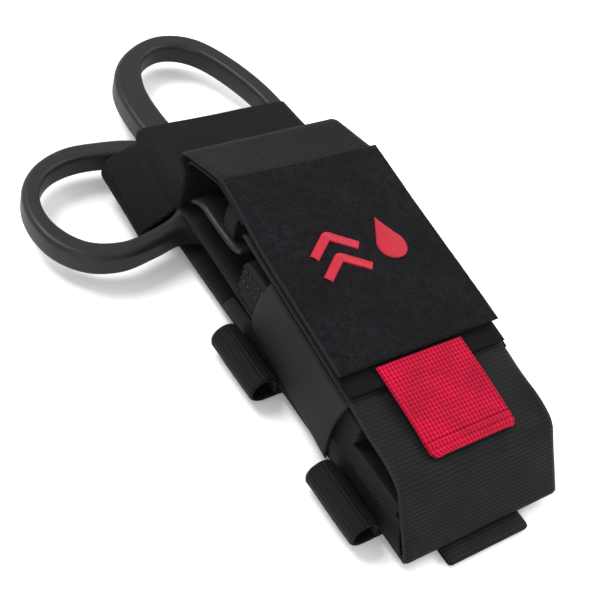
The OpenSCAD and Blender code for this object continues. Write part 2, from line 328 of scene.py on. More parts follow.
MATERIALS = {
    "webbing": webbing("webbing", (0.0080, 0.0080, 0.0082)),
    "flap_webbing": webbing("flap_webbing", (0.0050, 0.0050, 0.0051), pitch=FLAP_PITCH),
    "loop_webbing": webbing("loop_webbing", (0.0042, 0.0042, 0.0043)),
    "fine_webbing": webbing("fine_webbing", (0.0068, 0.0068, 0.0071), pitch=FINE_PITCH, rib=0.1,
                            grain=0.7, selvage=19.0),
    "pile": pile("loop_pile", (0.0046, 0.0046, 0.0060)),
    "hook": hook_tape("hook_tape", (0.0045, 0.0045, 0.0058)),
    "smooth_elastic": smooth_elastic("smooth_elastic", (0.0054, 0.0054, 0.0055)),
    "ribbed_elastic": webbing("ribbed_elastic", (0.0040, 0.0040, 0.0041), pitch=BAND_PITCH, rib=0.3,
                              grain=1.1, selvage=40.0),
    "red_webbing": webbing("red_webbing", (0.56, 0.0025, 0.038), rib=0.3, grain=1.3, light=1.2,
                           selvage=40.0, cross=0.5, stagger=0.0),
    "red_thread": thread("red_thread", (0.46, 0.005, 0.026)),
    "black_thread": thread("black_thread", (0.009, 0.009, 0.0095)),
    # A darker copy of the webbing for the sleeve's sides: painted shade on the holder's sides.
    "side_webbing_painted_shade": webbing("side_webbing_painted_shade", (0.0050, 0.0050, 0.0052), rib=0.05, selvage=60.0),
    "handle": moulded("handle_plastic", (0.0072, 0.0064, 0.0067), 0.4, gloss=0.26),
    "dark_plastic": moulded("tourniquet_plastic", (0.0095, 0.0095, 0.010), 0.5),
    "gloss_plastic": moulded("plate_plastic", (0.009, 0.009, 0.0094), 0.42, gloss=0.22),
    "steel": brushed_steel("blade_steel", (0.60, 0.60, 0.62)),
    "label": webbing("label_webbing", (0.42, 0.42, 0.40), pitch=LABEL_PITCH, rib=0.08, grain=0.6,
                     light=1.2),
}

# ---------------------------------------------------------------- mesh tools
# Lengths in this part are in millimetres, with Y measured from the holder's bottom end.

BOTTOM_END_Y = 70.0


def spot(x, y, z):
    """A point of the design, in the frame's metres."""
    return Vector((x, y - BOTTOM_END_Y, z)) * MM


def side_path(points):
    """A path in the YZ plane from (y, z) pairs."""
    return [Vector((0, y, z)) for y, z in points]


def end_path(points):
    """A path in the XZ plane from (x, z) pairs."""
    return [Vector((x, 0, z)) for x, z in points]


def evenly(path, step):
    """The path again, with its points an even step apart."""
    marks = [0.0]
    for a, b in zip(path, path[1:]):
        marks.append(marks[-1] + (b - a).length)
    count = max(2, round(marks[-1] / step))
    out = []
    k = 0
    for i in range(count + 1):
        want = marks[-1] * i / count
        while k < len(marks) - 2 and marks[k + 1] < want:
            k += 1
        span = marks[k + 1] - marks[k]
        out.append(path[k].lerp(path[k + 1], (want - marks[k]) / span if span else 0.0))
    return out


def averaged(line, widest):
    """Each point becomes the mean of itself and up to widest neighbours on either side."""
    out = []
    for i in range(len(line)):
        half = min(widest, i, len(line) - 1 - i)
        near = line[i - half:i + half + 1]
        out.append(sum(near, Vector((0, 0, 0))) / len(near))
    return out


def soften(path, step, reach):
    """Rounds a path's corners, blending the points within reach of each other."""
    return averaged(evenly(path, step), round(reach / step))


def length_of(path):
    return sum((b - a).length for a, b in zip(path, path[1:]))


def lifted(path, side, height):
    """The path moved by height along its normal."""
    out = []
    for i, point in enumerate(path):
        ahead = path[min(i + 1, len(path) - 1)] - path[max(i - 1, 0)]
        out.append(point + side.cross(ahead).normalized() * height)
    return out


def ridge(along, pitch):
    """A rib's height across a weave, from 0 to 1."""
    return 0.5 + 0.5 * math.sin(2 * math.pi * along / pitch)


def wave(seed, x, y, size):
    """Smooth unevenness from -1 to 1 that repeats on every run."""
    return noise.noise(Vector((x / size, y / size, seed * 7.3)))


def sheet_faces(rows, columns):
    """Faces of an upper and a lower grid of points, joined round their border."""
    under = rows * columns
    faces = []
    for j in range(rows - 1):
        for i in range(columns - 1):
            a, b = j * columns + i, j * columns + i + 1
            c, d = b + columns, a + columns
            faces.append((a, b, c, d))
            faces.append((under + d, under + c, under + b, under + a))
    for j in range(rows - 1):
        a, d = j * columns, (j + 1) * columns
        faces.append((a, d, under + d, under + a))
        a, d = a + columns - 1, d + columns - 1
        faces.append((under + a, under + d, d, a))
    for i in range(columns - 1):
        faces.append((i + 1, i, under + i, under + i + 1))
        a = (rows - 1) * columns + i
        faces.append((a, a + 1, under + a + 1, under + a))
    return faces


def border_fall(inset, reach):
    """How much of its depth a sheet keeps at that distance from its border."""
    return np.sqrt(np.clip(1 - np.clip(1 - inset / reach, 0, 1) ** 2, 0.05, 1))


def sheet_mesh(name, grid, size, thick, relief=None):
    """A closed sheet with rounded borders round a grid of points, grid[row][column].

    size is (width, length), which the weave's map is laid out in. relief(across, along) is
    added to the upper face.
    """
    rows, columns = len(grid), len(grid[0])
    points = np.array([[tuple(p) for p in row] for row in grid])
    along = np.gradient(points, axis=0)
    across = np.gradient(points, axis=1)
    normal = np.cross(across, along)
    normal /= np.maximum(np.linalg.norm(normal, axis=2, keepdims=True), 1e-9)
    u = np.array(spread(columns))
    width, length = size
    v = np.linspace(0, 1, rows)
    side_fall = border_fall((1 - np.abs(u)) * width / 2, thick * 0.5)
    end_fall = border_fall(np.minimum(v, 1 - v) * length, thick * 0.5)
    depth = thick / 2 * np.minimum(side_fall[None, :], end_fall[:, None])
    raised = np.zeros((rows, columns))
    if relief:
        for j in range(rows):
            for i in range(columns):
                raised[j, i] = relief(u[i] * width / 2, v[j] * length)
    upper = points + normal * (depth + raised)[:, :, None]
    lower = points - normal * depth[:, :, None]
    verts = np.concatenate([upper.reshape(-1, 3), lower.reshape(-1, 3)])
    verts[:, 1] -= BOTTOM_END_Y
    verts *= MM
    flat = [(float(u[i] * width / 2), float(v[j] * length)) for j in range(rows) for i in range(columns)]
    mesh = bpy.data.meshes.new(name)
    mesh.from_pydata([tuple(p) for p in verts], [], sheet_faces(rows, columns))
    layer = mesh.uv_layers.new(name="weave")
    for loop in mesh.loops:
        layer.data[loop.index].uv = flat[loop.vertex_index % (rows * columns)]
    mesh.update()
    return mesh


def spread(columns):
    """Places across a sheet, from -1 to 1, closer together near its sides."""
    last = columns - 1
    return [-math.cos(math.pi * i / last) * 0.25 + (2 * i / last - 1) * 0.75 for i in range(columns)]


def strap_grid(path, side, centre, width, columns, bend=None, step=0.4, drift=0.0):
    """Rows of points across a strap that follows path; bend(across, along) lifts it off the path.

    drift moves the strap sideways, evenly from its first end to its last.
    """
    line = evenly(path, step)
    grid = []
    along = 0.0
    for i, point in enumerate(line):
        ahead = line[min(i + 1, len(line) - 1)] - line[max(i - 1, 0)]
        normal = side.cross(ahead).normalized()
        row = []
        for u in spread(columns):
            across = u * width / 2
            lift = bend(across, along) if bend else 0.0
            row.append(point + side * (centre + drift * i / (len(line) - 1) + across) + normal * lift)
        grid.append(row)
        if i + 1 < len(line):
            along += (line[i + 1] - point).length
    return grid, along


def round_corners(grid, radius):
    """Draws in a strap's first rows, so that the two corners there are round."""
    start = grid[0][0].copy()
    for row in grid:
        along = (row[0] - start).length
        if along >= radius:
            return
        middle = (row[0] + row[-1]) / 2
        drawn_in = radius - math.sqrt(radius ** 2 - (radius - along) ** 2)
        keep = 1 - drawn_in / (row[0] - middle).length
        row[:] = [middle + (point - middle) * keep for point in row]


def piece(name, mesh, material, body, nodes=()):
    """Shows the mesh as a piece of that body, in place of those CAD nodes."""
    made = bpy.data.objects.new(name, mesh)
    bpy.context.scene.collection.objects.link(made)
    if not mesh.materials:
        mesh.materials.append(MATERIALS[material])
    mesh.polygons.foreach_set("use_smooth", [True] * len(mesh.polygons))
    if body:
        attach(made, body)
    if nodes:
        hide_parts(*nodes)
    return made


def strap(name, path, material, body, nodes=(), side=X, centre=0.0, width=WEBBING_WIDTH,
          thick=WEBBING_THICK, pitch=WEBBING_PITCH, rib=0.07, bend=None, columns=26,
          step=0.33):
    """A woven strap along path, ribbed across its length every pitch."""
    def ribs(_across, along):
        return rib * ridge(along, pitch)

    grid, length = strap_grid(path, side, centre, width, columns, bend, step)
    mesh = sheet_mesh(name, grid, (width, length), thick, ribs if rib else None)
    made = piece(name, mesh, material, body, nodes)


def stitch_row(name, points, up, material, body, pitch=2.4, length=1.7, radius=0.24):
    """A row of separate stitches along points, half sunk in the cloth."""
    line = evenly(points, pitch)
    bm = bmesh.new()
    for a, b in zip(line, line[1:]):
        middle = (a + b) / 2
        along = (b - a).normalized()
        sideways = along.cross(up).normalized()
        rise = sideways.cross(along)
        rings = []
        for k in range(5):
            t = k / 4 * 2 - 1
            fat = radius * math.sqrt(max(0.08, 1 - t * t * 0.92))
            centre = middle + along * (t * length / 2) - rise * (radius * 0.5 * t * t)
            ring = []
            for i in range(6):
                angle = 2 * math.pi * i / 6
                corner = centre + (sideways * math.cos(angle) + rise * math.sin(angle)) * fat
                ring.append(bm.verts.new(spot(*corner)))
            rings.append(ring)
        for r, s in zip(rings, rings[1:]):
            for i in range(6):
                bm.faces.new((r[i], r[(i + 1) % 6], s[(i + 1) % 6], s[i]))
        bm.faces.new(rings[0][::-1])
        bm.faces.new(rings[-1])
    mesh = bpy.data.meshes.new(name)
    bm.to_mesh(mesh)
    bm.free()
    piece(name, mesh, material, body)


def lathe(name, profile, start, axis, material, body, nodes=(), around=40):
    """A solid of revolution: profile is (distance along axis, radius) pairs."""
    bm = bmesh.new()
    turn = Vector(axis).to_track_quat("Z", "Y")
    rings = []
    for distance, radius in profile:
        ring = []
        for i in range(around):
            angle = 2 * math.pi * i / around
            flat = Vector((math.cos(angle) * radius, math.sin(angle) * radius, distance))
            ring.append(bm.verts.new(spot(*(Vector(start) + turn @ flat))))
        rings.append(ring)
    for r, s in zip(rings, rings[1:]):
        for i in range(around):
            k = (i + 1) % around
            bm.faces.new((r[i], r[k], s[k], s[i]))
    bm.faces.new(rings[0][::-1])
    bm.faces.new(rings[-1])
    bmesh.ops.recalc_face_normals(bm, faces=bm.faces)
    mesh = bpy.data.meshes.new(name)
    bm.to_mesh(mesh)
    bm.free()
    piece(name, mesh, material, body, nodes)


def plan_loops(node, level):
    """Outlines of a CAD node's flat faces at that height, in metres."""
    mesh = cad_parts[node].data
    here = [p for p in mesh.polygons
            if all(abs(mesh.vertices[v].co.z - level * MM) < 0.02 * MM for v in p.vertices)]
    ahead = {}
    count = {}
    for p in here:
        for a, b in p.edge_keys:
            count[(a, b)] = count.get((a, b), 0) + 1
    for (a, b), n in count.items():
        if n == 1:
            ahead.setdefault(a, []).append(b)
            ahead.setdefault(b, []).append(a)
    loops = []
    left = set(ahead)
    while left:
        start = left.pop()
        loop = [start]
        before, now = None, start
        while True:
            steps = [n for n in ahead[now] if n != before and (n in left or n == start)]
            if not steps or steps[0] == start:
                break
            before, now = now, steps[0]
            left.discard(now)
            loop.append(now)
        loops.append([mesh.vertices[v].co.copy() for v in loop])
    return loops


def rounded_plan(name, loops, low, high, round_off, material, body, nodes=(), smooth=2):
    """A plan outline made solid between two heights, its edges rounded by round_off."""
    data = bpy.data.curves.new(name, "CURVE")
    data.dimensions = "2D"
    data.fill_mode = "BOTH"
    data.extrude = (high - low) / 2 * MM - round_off * MM
    data.bevel_depth = round_off * MM
    data.bevel_resolution = 6
    data.offset = -round_off * MM
    for loop in loops:
        line = evenly(loop + [loop[0]], 0.7 * MM)[:-1]
        for _ in range(smooth):
            n = len(line)
            line = [(line[i - 1] + line[i] * 2 + line[(i + 1) % n]) / 4 for i in range(n)]
        spline = data.splines.new("POLY")
        spline.points.add(len(line) - 1)
        for target, point in zip(spline.points, line):
            target.co = (point.x, point.y, 0, 1)
        spline.use_cyclic_u = True
    holder = bpy.data.objects.new(name + "_curve", data)
    bpy.context.scene.collection.objects.link(holder)
    bpy.context.view_layer.update()
    mesh = bpy.data.meshes.new_from_object(holder.evaluated_get(bpy.context.evaluated_depsgraph_get()))
    bpy.data.objects.remove(holder)
    bpy.data.curves.remove(data)
    mesh.transform(Matrix.Translation((0, 0, (low + high) / 2 * MM)))
    mesh.materials.clear()
    piece(name, mesh, material, body, nodes)


def finish_cad(node, material, bevel=0.3):
    """Leaves a hard CAD node showing, with its finish and a small bevel."""
    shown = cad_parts[node]
    shown.data.materials.clear()
    shown.data.materials.append(MATERIALS[material])
    shape = shown.modifiers.new("edge", "BEVEL")
    shape.width = bevel * MM
    shape.segments = 3
    shape.limit_method = "ANGLE"
    shape.angle_limit = math.radians(35)
    shape.harden_normals = True


# ---------------------------------------------------------------- the holder's webbing

PANEL_Z = 4.5
LOOP_WIDTH = 24.5
FRONT_AT_TAB = 25.2
FOOT = (0.0, 4.2)
CORNER = (13.5, 24.5)
KNEE = (41.0, 30.0)
TOP = (104.0, 38.2)


def front_path(first_y, last_y, lift, bend_reach=3.0):
    """Path over the front of the holder at that height above its webbing."""
    keys = side_path([FOOT, CORNER, KNEE, TOP, (130.0, 41.6)])
    line = lifted(soften(keys, 0.4, bend_reach), X, lift)
    return [p for p in line if first_y <= p.y <= last_y]


def make_front():
    """The front strap comes up round the bottom end; its ribs gape and its edge curls over the bend."""
    turn_under = side_path([(7.0, PANEL_Z), (1.2, PANEL_Z)])
    rise = lifted(soften(side_path([(0.2, PANEL_Z), CORNER, KNEE, TOP]), 0.4, 3.4), X, -0.6)
    path = soften(turn_under + rise, 0.3, 0.9)

    def bend(across, along):
        near_bend = math.exp(-((along - 33.0) / 7.0) ** 2)
        sag = -0.35 * near_bend * math.cos(across / (WEBBING_WIDTH / 2) * math.pi / 2)
        curl = 1.1 * math.exp(-((along - 37.0) / 7.0) ** 2) * max(0.0, (abs(across) - 26.0) / 4.0) ** 2
        return sag + curl + 0.16 * wave(1, across, along, 13.0)

    def ribs(across, along):
        near_bend = math.exp(-((along - 38.0) / 9.0) ** 2)
        fade = 0.5 + 0.5 * wave(5, across, along, 9.0)
        return (0.025 + 0.2 * near_bend * fade) * ridge(along, WEBBING_PITCH)

    grid, length = strap_grid(path, X, 0.0, WEBBING_WIDTH, 34, bend, 0.3)
    mesh = sheet_mesh("front_strap_piece", grid, (WEBBING_WIDTH, length), WEBBING_THICK, ribs)
    made = piece("front_strap_piece", mesh, "webbing", "holder", ["front_strap"])
    strap("front_loop_piece", front_path(50, 100, 0.4), "pile", "holder", ["front_loop_patch"], width=54,
          thick=0.8, rib=0)


def sleeve_side(sign, label):
    """A side of the shears' sleeve. It is a little shorter at its upper edge."""
    rows = 240
    grid = []
    for j in range(rows):
        v = j / (rows - 1)
        row = []
        for u in spread(14):
            y = 3.2 + (u + 1) * 2.2 + v * (101.8 - (u + 1) * 4.2)
            out = 29.3 + 0.45 * math.cos(u * math.pi / 2) + 0.15 * wave(4 + sign, y, u * 4, 8.0)
            row.append(Vector((sign * out, y, 8.7 + u * 3.9)))
        grid.append(row if sign > 0 else row[::-1])
    mesh = sheet_mesh("sleeve_side_" + label, grid, (8.0, 100.0), 1.1,
                      lambda _a, s: 0.03 * math.sin(2 * math.pi * s / WEBBING_PITCH))
    piece("sleeve_side_" + label, mesh, "side_webbing_painted_shade", "holder")


def make_back():
    """The back panel, and the sleeve that the shears' blades lie in."""
    panel = side_path([(2.2, PANEL_Z), (142.0, PANEL_Z)])
    strap("back_panel_piece", panel, "webbing", "holder", ["back_panel"],
          bend=lambda x, y: 0.12 * wave(2, x, y, 17.0))
    divider = soften(side_path([(7.8, 12.8), (80, 12.8), (113, 15.3), (139.2, 16.5)]), 0.4, 2.5)
    strap("divider_piece", divider, "webbing", "holder", ["pocket_divider"], width=58.6,
          bend=lambda x, y: 0.15 * wave(3, x, y, 15.0))
    sleeve_side(-1, "left")
    sleeve_side(1, "right")


ELASTIC_FOOT_Y = [41.0, 58.5, 78.0, 84.5, 88.6]
ELASTIC_FOOT_Z = [3.6, 7.6, 10.6, 12.4, 15.7]


def elastic_side(sign, label):
    """Smooth elastic that holds the tourniquet in. Its foot slopes and its ends are curved."""
    grid = []
    rows, columns = 120, 44
    for j in range(rows):
        v = j / (rows - 1)
        foot_y = 41.0 + 47.6 * v
        foot_z = np.interp(foot_y, ELASTIC_FOOT_Y, ELASTIC_FOOT_Z)
        head_y = 40.5 + 45.0 * v
        head_z = 29.6 + (head_y - 41.0) * 0.13
        row = []
        for u in spread(columns):
            t = (u + 1) / 2
            inward = 1.7 * (1 - v) + 1.3 * v
            y = foot_y + (head_y - foot_y) * t + inward * math.sin(math.pi * t)
            z = foot_z + (head_z - foot_z) * t
            swell = 0.9 * math.sin(math.pi * v) ** 0.7 * math.sin(math.pi * t) ** 0.8
            out = 30.45 + swell + 0.12 * wave(8, y, z, 9.0)
            row.append(Vector((sign * out, y, z)))
        grid.append(row if sign > 0 else row[::-1])
    mesh = sheet_mesh("elastic_piece_" + label, grid, (22.0, 47.0), 1.1)
    made = piece("elastic_piece_" + label, mesh, "smooth_elastic", "holder", ["elastic_band_" + label])


def belt_loop(label, middle):
    """Webbing doubled under the back panel, with a fat fold out to the left."""
    keys = end_path([(25.0, 3.25), (-31.4, 3.25), (-31.9, 4.4), (-32.4, 8.6), (-35.0, 11.0), (-37.6, 11.2),
                     (-40.2, 9.6), (-41.0, 6.6), (-40.0, 3.6), (-37.0, 2.0), (-34.0, 1.95), (25.0, 1.95)])
    path = soften(keys, 0.3, 1.3)

    def bend(across, along):
        return 0.22 * wave(11, across, along, 7.0)

    grid, length = strap_grid(path, Y, middle, LOOP_WIDTH, 26, bend, 0.3)
    mesh = sheet_mesh("belt_loop_piece_" + label, grid, (LOOP_WIDTH, length), WEBBING_THICK,
                      lambda _a, s: 0.08 * ridge(s, WEBBING_PITCH))
    made = piece("belt_loop_piece_" + label, mesh, "loop_webbing", "holder", ["belt_loop_" + label])


def make_attachment():
    """The strap down the back, its folded tail, and its sewn-on top."""
    tail = soften(side_path([(6.0, 1.85), (-3.6, 1.85), (-4.4, 1.2), (-3.6, 0.62), (111.7, 0.62)]), 0.3, 0.6)
    strap("attachment_strap_piece", tail, "webbing", "attachment_strap", ["attachment_strap"], width=31,
          thick=1.15)
    strap("strap_hook_piece", side_path([(42.0, 1.75), (64.0, 1.75)]), "hook", "attachment_strap",
          ["strap_hook_patch"], width=25, thick=1.0, rib=0)
    strap("back_loop_piece", side_path([(41.0, 3.2), (65.0, 3.2)]), "pile", "holder", ["back_loop_patch"],
          width=27, thick=1.2, rib=0)
    fold = soften(side_path([(127.6, 0.62), (112.7, 0.62), (112.2, 1.2), (112.7, 1.95), (127.3, 1.95),
                             (127.8, 2.6), (127.3, 3.28), (112.2, 3.28)]), 0.3, 0.6)
    strap("strap_anchor_piece", fold, "webbing", "holder", ["strap_anchor"], width=31, thick=1.2)
    seam_z = -0.02
    for label, x in (("left", -13.6), ("right", 13.6)):
        seam = [Vector((x, 113.5, seam_z)), Vector((x, 126.5, seam_z))]
        stitch_row("anchor_stitch_" + label, seam, -Z, "black_thread", "holder")
    for k, (y0, y1) in enumerate(((114.0, 126.2), (126.2, 114.0))):
        seam = [Vector((-13.0, y0, seam_z)), Vector((13.0, y1, seam_z))]
        stitch_row(f"anchor_cross_{k}", seam, -Z, "black_thread", "holder")


# ---------------------------------------------------------------- the shears' band

# The band's two edges: from the middle below, up the right, over the handles and down the left.
BAND_LOW_EDGE = [(8, 140, 3.3), (38, 140, 3.3), (40.8, 140, 5.5), (40.8, 140, 13), (38.6, 140, 15.2),
                 (8, 140, 15.1), (-24.3, 140.5, 15.2), (-26.8, 141.5, 13.8), (-27.8, 142.3, 12.3),
                 (-30, 141.6, 11.6), (-39.6, 140.6, 7.0), (-41.0, 140.6, 5.6), (-40.2, 141, 4.2),
                 (-36, 141.4, 3.4), (-20, 141, 3.3), (6, 141, 3.3)]
BAND_HIGH_EDGE = [(8, 178, 3.3), (36, 178, 3.3), (38.4, 178, 5.5), (38.4, 178, 13), (36.2, 178, 15.3),
                  (8, 178.6, 15.2), (-21.2, 179.4, 15.5), (-24.4, 178.6, 14.7), (-26.6, 173.4, 14.5),
                  (-29.5, 172.6, 15.1), (-38.6, 170.2, 14.4), (-42.4, 168.6, 12.8), (-42.0, 167, 9.6),
                  (-38, 166.5, 4.4), (-20, 168, 3.4), (6, 174, 3.3)]


def make_shears_band():
    """Ribbed elastic over the handles, dipping through the thumb ring on the left."""
    low = [Vector(p) for p in BAND_LOW_EDGE]
    high = [Vector(p) for p in BAND_HIGH_EDGE]
    dense_low, dense_high = [], []
    for (a, b), (c, d) in zip(zip(low, low[1:]), zip(high, high[1:])):
        count = max(2, round((a - b).length / 0.35))
        for k in range(count):
            dense_low.append(a.lerp(b, k / count))
            dense_high.append(c.lerp(d, k / count))
    dense_low, dense_high = averaged(dense_low, 3), averaged(dense_high, 3)
    grid = []
    for i, (a, b) in enumerate(zip(dense_low, dense_high)):
        row = []
        for u in spread(40):
            t = (u + 1) / 2
            point = a.lerp(b, t)
            point.z += 0.12 * wave(21, point.x, point.y, 8.0)
            row.append(point)
        grid.append(row[::-1])
    length = length_of([(a + b) / 2 for a, b in zip(dense_low, dense_high)])
    mesh = sheet_mesh("shears_band_piece", grid, (36.0, length), WEBBING_THICK,
                      lambda _a, s: 0.1 * ridge(s, BAND_PITCH))
    made = piece("shears_band_piece", mesh, "ribbed_elastic", "holder", ["shears_band"])
    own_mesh(made)


# ---------------------------------------------------------------- the flap


def flap_lift(across, y):
    """Unevenness shared by the flap's layers: its top left corner rides up over the windlass."""
    corner = math.exp(-((across + 34) / 22.0) ** 2) * math.exp(-((y - 121.0) / 17.0) ** 2)
    slump = -0.5 * math.exp(-((across - 30) / 14.0) ** 2) * math.exp(-((y - 110.0) / 30.0) ** 2)
    return 2.2 * corner + slump + 0.18 * wave(31, across, y, 19.0)


def flap_strap():
    """Webbing from the end wall over its fold and down the front."""
    up_wall = side_path([(139.0, 17.1), (139.0, 31.0), (141.6, 33.0), (143.0, 35.2), (142.4, 37.4),
                         (140.2, 38.5), (121.0, 43.0), (104.0, 41.0)])
    down = [p for p in front_path(48.0, 100.0, 2.6)][::-1]
    path = soften(up_wall + down, 0.3, 1.2)[::-1]
    step, fold_at = 0.3, 98.0
    marks = evenly(path, step)

    def bend(across, along):
        y = marks[min(len(marks) - 1, int(along / step))].y
        if along > fold_at:
            return flap_lift(across, y) * max(0.0, 1 - (along - fold_at) / 12.0)
        return flap_lift(across, y)

    grid, length = strap_grid(path, X, 0.0, WEBBING_WIDTH, 34, bend, step)
    mesh = sheet_mesh("flap_strap_piece", grid, (WEBBING_WIDTH, length), WEBBING_THICK,
                      lambda _a, s: 0.07 * ridge(s, FLAP_PITCH))
    made = piece("flap_strap_piece", mesh, "flap_webbing", None)
    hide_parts("flap_webbing", "end_wall")
    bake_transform(made)


def flap_lining():
    """A second layer of webbing under the flap's top."""
    width, first_y = 59.2, 106.0
    keys = side_path([(138.2, 36.0), (137.6, 37.4), (121.0, 41.2), (first_y, 39.4)])
    under = soften(keys, 0.3, 1.2)[::-1]
    grid, length = strap_grid(under, X, 0.0, width, 30, lambda x, s: flap_lift(x, first_y + s) * 0.9, 0.3)
    mesh = sheet_mesh("flap_lining_piece", grid, (width, length), 1.3,
                      lambda _a, s: 0.05 * math.sin(2 * math.pi * s / FLAP_PITCH))
    made = piece("flap_lining_piece", mesh, "flap_webbing", None)
    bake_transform(made)


def flap_facings():
    """Loop pile over the flap, and hook tape under it."""
    width, first_y = 61.0, 47.5
    crest = soften(front_path(first_y, 100.0, 3.85) + side_path([(104.0, 42.3), (120.4, 44.6)]), 0.3, 2.0)
    grid, length = strap_grid(crest, X, 0.0, width, 60,
                              lambda x, s: flap_lift(x, first_y + s) + 0.1 * wave(32, x, s, 2.2), 0.5)
    mesh = sheet_mesh("flap_pile_piece", grid, (width, length), 1.35,
                      lambda x, s: 0.05 * wave(33, x, s, 0.9))
    made = piece("flap_pile_piece", mesh, "pile", "flap", ["flap_loop_panel"])
    strap("flap_hook_piece", front_path(41.5, 98.0, 1.55), "hook", "flap", ["flap_hook_panel"], width=59.4,
          thick=0.8, rib=0)


TAB_WIDTH = 32.4
TAB_HEM = 4.6
TAB_SIDE_SEAM = -14.4


def make_tab():
    """The red tab: coarse webbing with a rolled edge and a hem sewn across its lower end."""
    path = soften(side_path([(17.0, FRONT_AT_TAB + 1.05), (47.0, 30.77 + 3.05)]), 0.3, 0.3)

    def bend(across, along):
        hem = 0.22 if along < 4.2 else 0.0
        corner = -0.5 * (max(0.0, abs(across) - 13.0) / 3.0) ** 2 * max(0.0, 1 - along / 8.0)
        return hem + corner + 0.12 * wave(41, across, along, 14.0) + 0.35 * math.sin(math.pi * along / 32.0)

    grid, length = strap_grid(path, X, 0.6, TAB_WIDTH, 100, bend, 0.2, drift=-2.2)
    round_corners(grid, 2.4)
    mesh = sheet_mesh("pull_tab_piece", grid, (TAB_WIDTH, length), 1.3, tab_weave)
    made = piece("pull_tab_piece", mesh, "red_webbing", "pull_tab", ["pull_tab"])


def tab_weave(across, along):
    """Coarse basket weave, sunk where the hem and the left edge are sewn down."""
    half_groove = 0.3
    hemmed = min(abs(along - 2.6), abs(along - TAB_HEM)) < half_groove
    if hemmed or (abs(across - TAB_SIDE_SEAM) < half_groove and along > 5):
        return -0.36
    warp = math.sin(2 * math.pi * across / WEBBING_PITCH)
    if along < TAB_HEM or across < TAB_SIDE_SEAM:
        return 0.04 * warp
    weft = math.sin(2 * math.pi * along / WEBBING_PITCH)
    return 0.07 * weft + 0.08 * warp


def satin(name, spine, half_widths, flap_height):
    """A strip of satin stitch: threads lie across the spine and crown up in its middle."""
    line = evenly(spine, 0.21)
    marks = [i / (len(line) - 1) for i in range(len(line))]
    grid = []
    for t, point in zip(marks, line):
        k = min(len(line) - 1, int(t * (len(line) - 1)))
        ahead = (line[min(k + 1, len(line) - 1)] - line[max(k - 1, 0)]).normalized()
        sideways = Vector((ahead.y, -ahead.x, 0))
        half = np.interp(t, [i / (len(half_widths) - 1) for i in range(len(half_widths))], half_widths)
        row = []
        for u in spread(12):
            place = point + sideways * (u * half)
            crown = 0.42 * math.sqrt(max(0.0, 1 - u * u))
            row.append(Vector((place.x, place.y, flap_height(place.x, place.y) + crown)))
        grid.append(row)
    return sheet_mesh(name, grid, (2 * max(half_widths), length_of(line)), 0.35,
                      lambda _a, s: 0.05 * math.sin(2 * math.pi * s / THREAD_PITCH))


DROP_CENTRE = (11.8, 82.6)
DROP_RADIUS = 5.2
DROP_POINT = 10.6


def drop_half_width(t):
    """Half the width of a solid drop, from its round foot at 0 to its point at 1."""
    above = t * (DROP_RADIUS + DROP_POINT) - DROP_RADIUS
    shoulder = DROP_RADIUS ** 2 / DROP_POINT
    if above < shoulder:
        return max(0.5, math.sqrt(max(0.0, DROP_RADIUS ** 2 - above ** 2)))
    widest = math.sqrt(DROP_RADIUS ** 2 - shoulder ** 2)
    return max(0.2, widest * (DROP_POINT - above) / (DROP_POINT - shoulder))


def make_mark():
    """A double chevron and a solid drop in satin stitch."""
    velvet = bpy.data.objects["flap_pile_piece"]
    tree = BVHTree.FromObject(velvet, bpy.context.evaluated_depsgraph_get())

    def height(x, y):
        hit = tree.ray_cast(spot(x, y, 80), -Z)[0]
        return hit.z / MM + 0.02 if hit else 42.0

    strips = []
    for base in (77.5, 85.7):
        chevron = [Vector((-16.0, base, 0)), Vector((-7.6, base + 6.4, 0)), Vector((0.8, base, 0))]
        strips.append((chevron, [1.55, 1.6, 1.55]))
    foot = Vector((DROP_CENTRE[0], DROP_CENTRE[1] - DROP_RADIUS, 0))
    point = Vector((DROP_CENTRE[0], DROP_CENTRE[1] + DROP_POINT, 0))
    strips.append(([foot, point], [drop_half_width(k / 24) for k in range(25)]))
    for k, (spine, widths) in enumerate(strips):
        mesh = satin(f"mark_{k}", soften(spine, 0.3, 0.5), widths, height)
        piece(f"mark_{k}", mesh, "red_thread", "flap", ["embroidered_mark"])


# ---------------------------------------------------------------- the shears

HANDLE_LOW = 5.4
HANDLE_HIGH = 14.2
PIVOT = (2.0, 118.0)


def make_shears():
    """Moulded handles with rounded edges, ground blades and a pivot screw with a round recess in its head.
    """
    for node, body, boss_low, boss_high, boss_face in (
            ("finger_handle", "shears", 6.1, 7.8, 6.1),
            ("thumb_handle", "shears_thumb_half", 11.9, 13.5, 13.5)):
        rounded_plan(node + "_piece", plan_loops(node, HANDLE_HIGH), HANDLE_LOW, HANDLE_HIGH, 2.0, "handle",
                     body, [node])
        rounded_plan(node + "_boss", plan_loops(node, boss_face), boss_low, boss_high, 0.4, "handle", body,
                     smooth=0)
    for node in ("finger_blade", "thumb_blade"):
        finish_cad(node, "steel", 0.25)
    x, y = PIVOT
    screw = [(0, 2.3), (0.2, 2.42), (7.5, 2.42), (7.5, 4.5), (7.75, 4.55), (8.0, 4.2), (8.08, 3.4),
             (8.08, 1.9), (7.7, 1.7), (7.7, 0.1)]
    lathe("pivot_screw_piece", screw, (x, y, 6.0), (0, 0, 1), "steel", "shears", ["pivot_screw"])
    nut = [(0, 4.0), (0.1, 4.15), (0.5, 4.15), (0.58, 4.0)]
    lathe("pivot_nut_piece", nut, (x, y, 5.41), (0, 0, 1), "steel", "shears", ["pivot_nut"], around=6)


# ---------------------------------------------------------------- the tourniquet

PACK_LOW = 13.6
PACK_HIGH = 17.0
STRAP_X = -9.8
ROD_X = 16.0
ROD_Z = 21.5
CLIP_Y = 92.0


